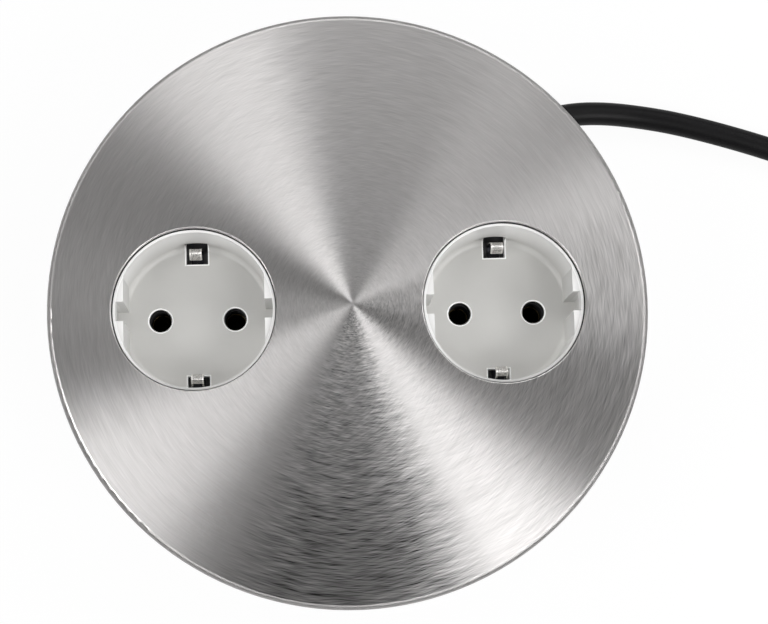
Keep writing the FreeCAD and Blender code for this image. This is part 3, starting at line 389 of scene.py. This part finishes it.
# Painted shade: the white walls inside each pin entry are painted black.
hole_shade = calc(mould, "LESS_THAN", from_pin, PIN_SHADE_RADIUS)
mould_colour = blend(mould, hole_shade, blend(mould, edge_highlights, skin_with_painted_shade, HIGHLIGHT_WHITE), HOLE_SHADE_BLACK)
print("colours from", FLOOR_LIT_FRONT, "to", COLLAR_LIT_BACK)

# %% Skin of the moulding
FLOOR_GRAIN, COLLAR_GRAIN = 0.14, 0.03
FLOOR_ROUGHNESS, COLLAR_ROUGHNESS = 0.46, 0.28

mould_grain = mould("TexNoise", {"Vector": mould_place, "Scale": 3200.0, "Detail": 2.0}).outputs["Fac"]
mould_depth = ramp(mould, rise, 0.0, 1.0, FLOOR_GRAIN, COLLAR_GRAIN)
mould_gloss = ramp(mould, rise, 0.0, 1.0, FLOOR_ROUGHNESS, COLLAR_ROUGHNESS)
mould_skin = mould("Bump", {"Height": mould_grain, "Strength": mould_depth, "Distance": GRAIN_HEIGHT})
mould_shader = mould("BsdfPrincipled", {
    "Base Color": mould_colour, "Roughness": mould_gloss, "Normal": mould_skin.outputs[0], "IOR": 1.5})
mould("OutputMaterial", {"Surface": mould_shader.outputs[0]})
print("nodes in the moulding", len(white_polymer.node_tree.nodes))

# %% [markdown]
# ## Brushed steel
# The disc was brushed while it turned, so every scratch is an arc round its middle. Light spreads
# across the scratches and hardly along them, which draws the bright wedges. The shader gets this
# from its anisotropy and from a tangent that points across the scratches. The scratches are
# noise in polar coordinates, long along the arc and narrow across it. Two more sets of arcs have
# their centres to either side of the middle, so that they cross the first ones at a small angle.
# The front of the disc is the most worn, with the deepest scratches, and is darker towards its rim.
# The right side is half as worn and no darker. The rolled edge was polished, not turned, so its
# scratches point everywhere; its grey is painted shade, darkened by a painted shadow towards the bottom.

# %% Where a point lies on the disc
BRUSH_X, BRUSH_Y = 0.7 * MM, 0.3 * MM

brushed_cover, steel = new_material("brushed_cover")
steel_place = steel("TexCoord").outputs["Object"]
steel_height = steel("SeparateXYZ", {0: steel_place}).outputs[2]


def polar(centre_x, centre_y):
    """Distance and direction from a centre, flat on the disc."""
    shifted = steel("VectorMath", {0: steel_place, 1: (-centre_x, -centre_y, 0)}, operation="ADD").outputs[0]
    level = steel("VectorMath", {0: shifted, 1: (1, 1, 0)}, operation="MULTIPLY").outputs[0]
    far = steel("VectorMath", {0: level}, operation="LENGTH").outputs["Value"]
    way = steel("VectorMath", {0: level}, operation="NORMALIZE").outputs[0]
    return far, way


radius, outward = polar(BRUSH_X, BRUSH_Y)
around = steel("VectorMath", {0: (0, 0, 1), 1: outward}, operation="CROSS_PRODUCT").outputs[0]
around_world = steel(
    "VectorTransform", {0: around},
    vector_type="VECTOR", convert_from="OBJECT", convert_to="WORLD").outputs[0]
surface_normal = steel("NewGeometry").outputs["Normal"]
across = steel("VectorMath", {0: around_world, 1: surface_normal}, operation="CROSS_PRODUCT").outputs[0]
print("brushed round", BRUSH_X, BRUSH_Y)

# %% Scratches round the middle and across it
WANDER = 0.5 * MM
CROSSING_START, CROSSING_FULL, CROSSING_MOST = 8 * MM, 30 * MM, 0.5

waver = steel("TexNoise", {"Vector": steel_place, "Scale": 130.0, "Detail": 1.0}).outputs["Fac"]


def between(add, share, first, second):
    """A number between two others."""
    return add("Mix", {0: share, 2: first, 3: second}).outputs[0]


def scratches(centre_x, centre_y, along, wide, detail):
    """Noise drawn out round a centre: along is how often per radian, wide is across, per metre."""
    far, way = polar(centre_x, centre_y)
    ring = steel("VectorMath", {0: way, 3: along}, operation="SCALE").outputs[0]
    ring_x, ring_y, _ = steel("SeparateXYZ", {0: ring}).outputs
    drift = calc(steel, "ADD", calc(steel, "MULTIPLY_ADD", waver, WANDER, far), steel_height)
    drawn = steel("CombineXYZ", {0: ring_x, 1: ring_y, 2: calc(steel, "MULTIPLY", drift, wide)}).outputs[0]
    noise = steel("TexNoise", {"Vector": drawn, "Scale": 1.0, "Detail": detail, "Roughness": 0.6})
    return noise.outputs["Fac"]


hairlines = scratches(BRUSH_X, BRUSH_Y, 9.0, 3600.0, 1.0)
streaks = scratches(BRUSH_X, BRUSH_Y, 4.0, 1700.0, 2.0)
crossed = scratches(9.0 * MM, 7.0 * MM, 8.0, 2700.0, 1.0)
crossed_back = scratches(-8.0 * MM, -9.0 * MM, 9.0, 2900.0, 1.0)
round_pair = between(steel, 0.5, hairlines, streaks)
crossing_pair = between(steel, 0.5, crossed, crossed_back)
crossing_share = ramp(steel, radius, CROSSING_START, CROSSING_FULL, 0.0, CROSSING_MOST)
raised = calc(steel, "SUBTRACT", between(steel, crossing_share, round_pair, crossing_pair), 0.5)
print("nodes for the scratches", len(brushed_cover.node_tree.nodes))

# %% Wear, tone and the painted shade of the rolled edge
STEEL_TINT = (1.0, 0.975, 0.965)
SOUND_DEPTH, WORN_DEPTH = 0.55, 2.6
FACE_TONE, OUTER_DARKENING = 0.6, -0.24
DARKENING_START, DARKENING_FULL = 15 * MM, 60 * MM
FACE_END, EDGE_START = 72.7 * MM, 73.0 * MM
LIP_LOW, LIP_HIGH = 57.3 * MM, 58.0 * MM
# Painted shade: the rolled edge is grey, with a painted shadow line at its foot.
LIP_SHADOW, LIP_SHADE_GREY = 0.06, 0.42


def worn_towards(azimuth, half_width, most):
    """How worn the steel is: most towards one side of the disc, nothing beyond half_width."""
    a = math.radians(azimuth)
    facing = steel("VectorMath", {0: outward, 1: (math.cos(a), math.sin(a), 0)}, operation="DOT_PRODUCT")
    edge, full = math.cos(math.radians(half_width)), math.cos(math.radians(half_width / 2))
    return ramp(steel, facing.outputs["Value"], edge, full, 0.0, most)


front_wear_and_darkening, right_wear = worn_towards(269, 28, 1.0), worn_towards(340, 44, 0.5)
wear = calc(steel, "MAXIMUM", front_wear_and_darkening, right_wear)
cut = calc(steel, "MULTIPLY", raised, ramp(steel, wear, 0.0, 1.0, SOUND_DEPTH, WORN_DEPTH))
# The front of the face is darker towards the rim.
outer_darkening = ramp(steel, radius, DARKENING_START, DARKENING_FULL, 0.0, OUTER_DARKENING)
darkened_face = calc(steel, "MULTIPLY_ADD", front_wear_and_darkening, outer_darkening, FACE_TONE)
face_tone = calc(steel, "ADD", cut, darkened_face, use_clamp=True)
flatness = ramp(steel, polar(0, 0)[0], FACE_END, EDGE_START, 1.0, 0.0)
# Painted shade and shadow on the rolled edge, darker towards its bottom.
lip_painted_shade = ramp(steel, steel_height, LIP_LOW, LIP_HIGH, LIP_SHADOW, LIP_SHADE_GREY)
steel_colour = blend(steel, between(steel, flatness, lip_painted_shade, face_tone), (0, 0, 0), STEEL_TINT)
print("flat out to", FACE_END, "m")

# %% Direction of the scratches, mixed up on the rolled edge
SOUND_LEAN, WORN_LEAN = 0.25, 0.5
EDGE_SPREAD, FACE_SPREAD = 8.0, 0.3
EDGE_GROOVES, FACE_GROOVES = 0.02, 0.12
EDGE_ROUGHNESS = 0.5
RAISED_SPAN = 0.15
LOW_ROUGHNESS, HIGH_ROUGHNESS = 0.33, 0.29

lean = calc(steel, "MULTIPLY", raised, ramp(steel, wear, 0.0, 1.0, SOUND_LEAN, WORN_LEAN))
speckle = steel("TexWhiteNoise", {"Vector": steel_place}).outputs["Value"]
spread = ramp(steel, flatness, 0.0, 1.0, EDGE_SPREAD, FACE_SPREAD)
lean_all = calc(steel, "MULTIPLY_ADD", calc(steel, "SUBTRACT", speckle, 0.5), spread, lean)
leaning = steel("VectorMath", {0: around_world, 3: lean_all}, operation="SCALE").outputs[0]
crossing = steel("VectorMath", {0: across, 1: leaning}, operation="ADD").outputs[0]
face_gloss = ramp(steel, raised, -RAISED_SPAN, RAISED_SPAN, LOW_ROUGHNESS, HIGH_ROUGHNESS)
steel_gloss = between(steel, flatness, EDGE_ROUGHNESS, face_gloss)
groove_depth = ramp(steel, flatness, 0.0, 1.0, EDGE_GROOVES, FACE_GROOVES)
grooves = steel("Bump", {"Height": raised, "Strength": groove_depth, "Distance": GRAIN_HEIGHT}).outputs[0]
steel_shader = steel("BsdfPrincipled", {
    "Base Color": steel_colour, "Metallic": 1.0, "Roughness": steel_gloss,
    "Anisotropic": 1.0, "Normal": grooves, "Tangent": crossing})
steel("OutputMaterial", {"Surface": steel_shader.outputs[0]})
print("nodes in the steel", len(brushed_cover.node_tree.nodes))

# %% [markdown]
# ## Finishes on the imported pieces
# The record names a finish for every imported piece. One loop hands them out, so that no piece is
# forgotten and equal pieces look alike.

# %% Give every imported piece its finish
FINISHES = {
    "brushed_cover": brushed_cover, "white_polymer": white_polymer, "black_polymer": black_polymer,
    "grey_polymer": grey_polymer, "black_rubber": black_rubber, "black_cord": black_cord,
    "zinc_steel": zinc_steel, "spring_steel": spring_steel, "cast_zinc": cast_zinc, "brass": brass,
    "nickel": nickel, "brown_sleeve": brown_sleeve, "blue_sleeve": blue_sleeve,
    "green_yellow_sleeve": green_yellow_sleeve,
}
for row in frame["record"]["subparts"]:
    piece = nodes[row["node"]]
    for slot in piece.material_slots:
        slot.material = FINISHES[row["material_slot"]]
print("finishes on", len(nodes), "pieces")

# %% [markdown]
# ## The earth clips
# Each socket has one sprung strip. Its two ends stand up in the windows as two thin rails, join in
# a crown and fold inwards to a dimpled pad that touches the plug. The strip is drawn from the side
# as a row of points and pulled across in three steps, which gives a middle lane between two outer
# ones. The middle lane is deleted where the rails stand, so that the slot is open, the free corners
# are rounded, and Solidify gives the sheet its thickness. The foot is painted near black as shade,
# so that it stays dark under the bright rails.

# %% Dimpled finish of the pads
PAD_EDGE, PIT_DEPTH = 1.15 * MM, 0.2 * MM
PAD_BRIGHT = (0.9, 0.88, 0.85)
PIT_START, PIT_END = 0.1, 0.6
# Painted shade: the pits of the dimples are painted darker than the ridges and the plain border.
PIT_SHADE, RIDGE_TONE = 0.22, 0.8

dimpled, pad = new_material("dimpled_nickel")
pad_place = pad("TexCoord").outputs["Object"]
pad_x = pad("SeparateXYZ", {0: pad_place}).outputs[0]
dimples = pad("TexVoronoi", {"Vector": pad_place, "Scale": 2600.0, "Randomness": 0.6}).outputs["Distance"]
pits = pad("Bump", {"Height": dimples, "Strength": 1.0, "Distance": PIT_DEPTH}).outputs[0]
plain = calc(pad, "GREATER_THAN", fold(pad, fold(pad, pad_x, SOCKET_X), PAD_EDGE), 0.0)
# Painted shade in the pits of the dimples.
dimple_shade = ramp(pad, dimples, PIT_START, PIT_END, PIT_SHADE, RIDGE_TONE)
pad_pit_shade = calc(pad, "MAXIMUM", dimple_shade, plain)
pad_shader = pad("BsdfPrincipled", {
    "Base Color": blend(pad, pad_pit_shade, (0, 0, 0), PAD_BRIGHT), "Metallic": 1.0, "Roughness": 0.36,
    "Normal": pits})
pad("OutputMaterial", {"Surface": pad_shader.outputs[0]})
print("plain border beyond", PAD_EDGE, "m")

# %% The strip seen from the side, in millimetres
FLOOR_HEIGHT = RECESS_FLOOR / MM
# Each point's distance from the socket's middle and its height above the recess floor.
HALF_STRIP = [
    (0.0, -2.75), (16.6, -2.75), (17.7, -2.2), (18.1, -1.2), (18.15, -0.4), (17.8, 3.0),
    (17.3, 5.6), (16.95, 6.8), (16.6, 7.4), (16.2, 7.65), (15.8, 7.55), (15.3, 6.9),
    (14.95, 6.2), (14.75, 5.6), (14.75, 5.2),
]
FOOT_STEPS, RAIL_STEPS, PAD_STEPS = range(0, 4), range(4, 7), range(7, 14)

half_line = [(y, FLOOR_HEIGHT + above) for y, above in HALF_STRIP]
strip_line = [(-y, z) for y, z in half_line[:0:-1]] + half_line
print("points in the strip", len(strip_line))

# %% Pull the strip across and sort its faces
PAD_HALF, RAIL_INNER = 1.55, 1.1
# The third finish is painted shade for the foot.
SPRING, DIMPLED, SHADED_FOOT = 0, 1, 2


def bent_sheet(centre_x):
    """A sheet without thickness that follows the line: drawn once, then pulled across in three steps."""
    shape = bmesh.new()
    row = [shape.verts.new(((centre_x - PAD_HALF) * MM, y * MM, z * MM)) for y, z in strip_line]
    edges = [shape.edges.new(pair) for pair in zip(row, row[1:])]
    for step in (PAD_HALF - RAIL_INNER, 2 * RAIL_INNER, PAD_HALF - RAIL_INNER):
        pulled = bmesh.ops.extrude_edge_only(shape, edges=edges)["geom"]
        moved = [part for part in pulled if isinstance(part, bmesh.types.BMVert)]
        edges = [part for part in pulled if isinstance(part, bmesh.types.BMEdge)]
        edges = [edge for edge in edges if all(end in moved for end in edge.verts)]
        bmesh.ops.translate(shape, vec=(step * MM, 0, 0), verts=moved)
    return shape


def step_of(face):
    """Which step of the line a face lies on, counted from the middle of the strip outwards."""
    middle = face.calc_center_median()
    steps = [
        ((abs(middle.y) / MM - (a[0] + b[0]) / 2) ** 2 + (middle.z / MM - (a[1] + b[1]) / 2) ** 2, i)
        for i, (a, b) in enumerate(zip(half_line, half_line[1:]))
    ]
    return min(steps)[1]


def finish_of(face):
    """Which of the strip's three finishes a face has."""
    if step_of(face) in PAD_STEPS:
        return DIMPLED
    return SHADED_FOOT if step_of(face) in FOOT_STEPS else SPRING


print("pads", 2 * PAD_HALF, "mm wide, slot", 2 * RAIL_INNER, "mm wide")

# %% Both clips
SHEET = 0.45
MIDDLE_LANE, CORNER_LANE = 0.1, RAIL_INNER + 0.1
TIP_ROUND, EDGE_ROUND = 0.5 * MM, 0.08 * MM

for side, centre_x in (("left", -SOCKET_X / MM), ("right", SOCKET_X / MM)):
    clip_shape = bent_sheet(centre_x)
    for face in clip_shape.faces:
        face.material_index = finish_of(face)
    slot = [
        face for face in clip_shape.faces
        if step_of(face) in RAIL_STEPS and abs(face.calc_center_median().x / MM - centre_x) < MIDDLE_LANE
    ]
    bmesh.ops.delete(clip_shape, geom=slot, context="FACES")
    tips = [
        corner for corner in clip_shape.verts
        if len(corner.link_edges) == 2 and corner.co.z > RECESS_FLOOR
        and abs(abs(corner.co.x) / MM - abs(centre_x)) > CORNER_LANE
    ]
    bmesh.ops.bevel(
        clip_shape, geom=tips, offset=TIP_ROUND, affect="VERTICES", segments=4, profile=0.5, material=-1)
    bmesh.ops.recalc_face_normals(clip_shape, faces=clip_shape.faces)
    clip_mesh = bpy.data.meshes.new("sprung_clip_" + side)
    clip_shape.to_mesh(clip_mesh)
    clip_shape.free()
    for material in (spring_steel, dimpled, shaded_foot_steel):
        clip_mesh.materials.append(material)
    clip = bpy.data.objects.new("sprung_clip_" + side, clip_mesh)
    bpy.context.scene.collection.objects.link(clip)
    thick = clip.modifiers.new("sheet", "SOLIDIFY")
    thick.thickness, thick.offset = SHEET * MM, 0.0
    soft = clip.modifiers.new("edges", "BEVEL")
    soft.width, soft.segments, soft.limit_method = EDGE_ROUND, 2, "ANGLE"
    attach(clip, "housing")
    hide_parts("earth_clip_" + side)
    print(clip.name, "faces", len(clip_mesh.polygons), "tips", len(tips), "slot", len(slot))
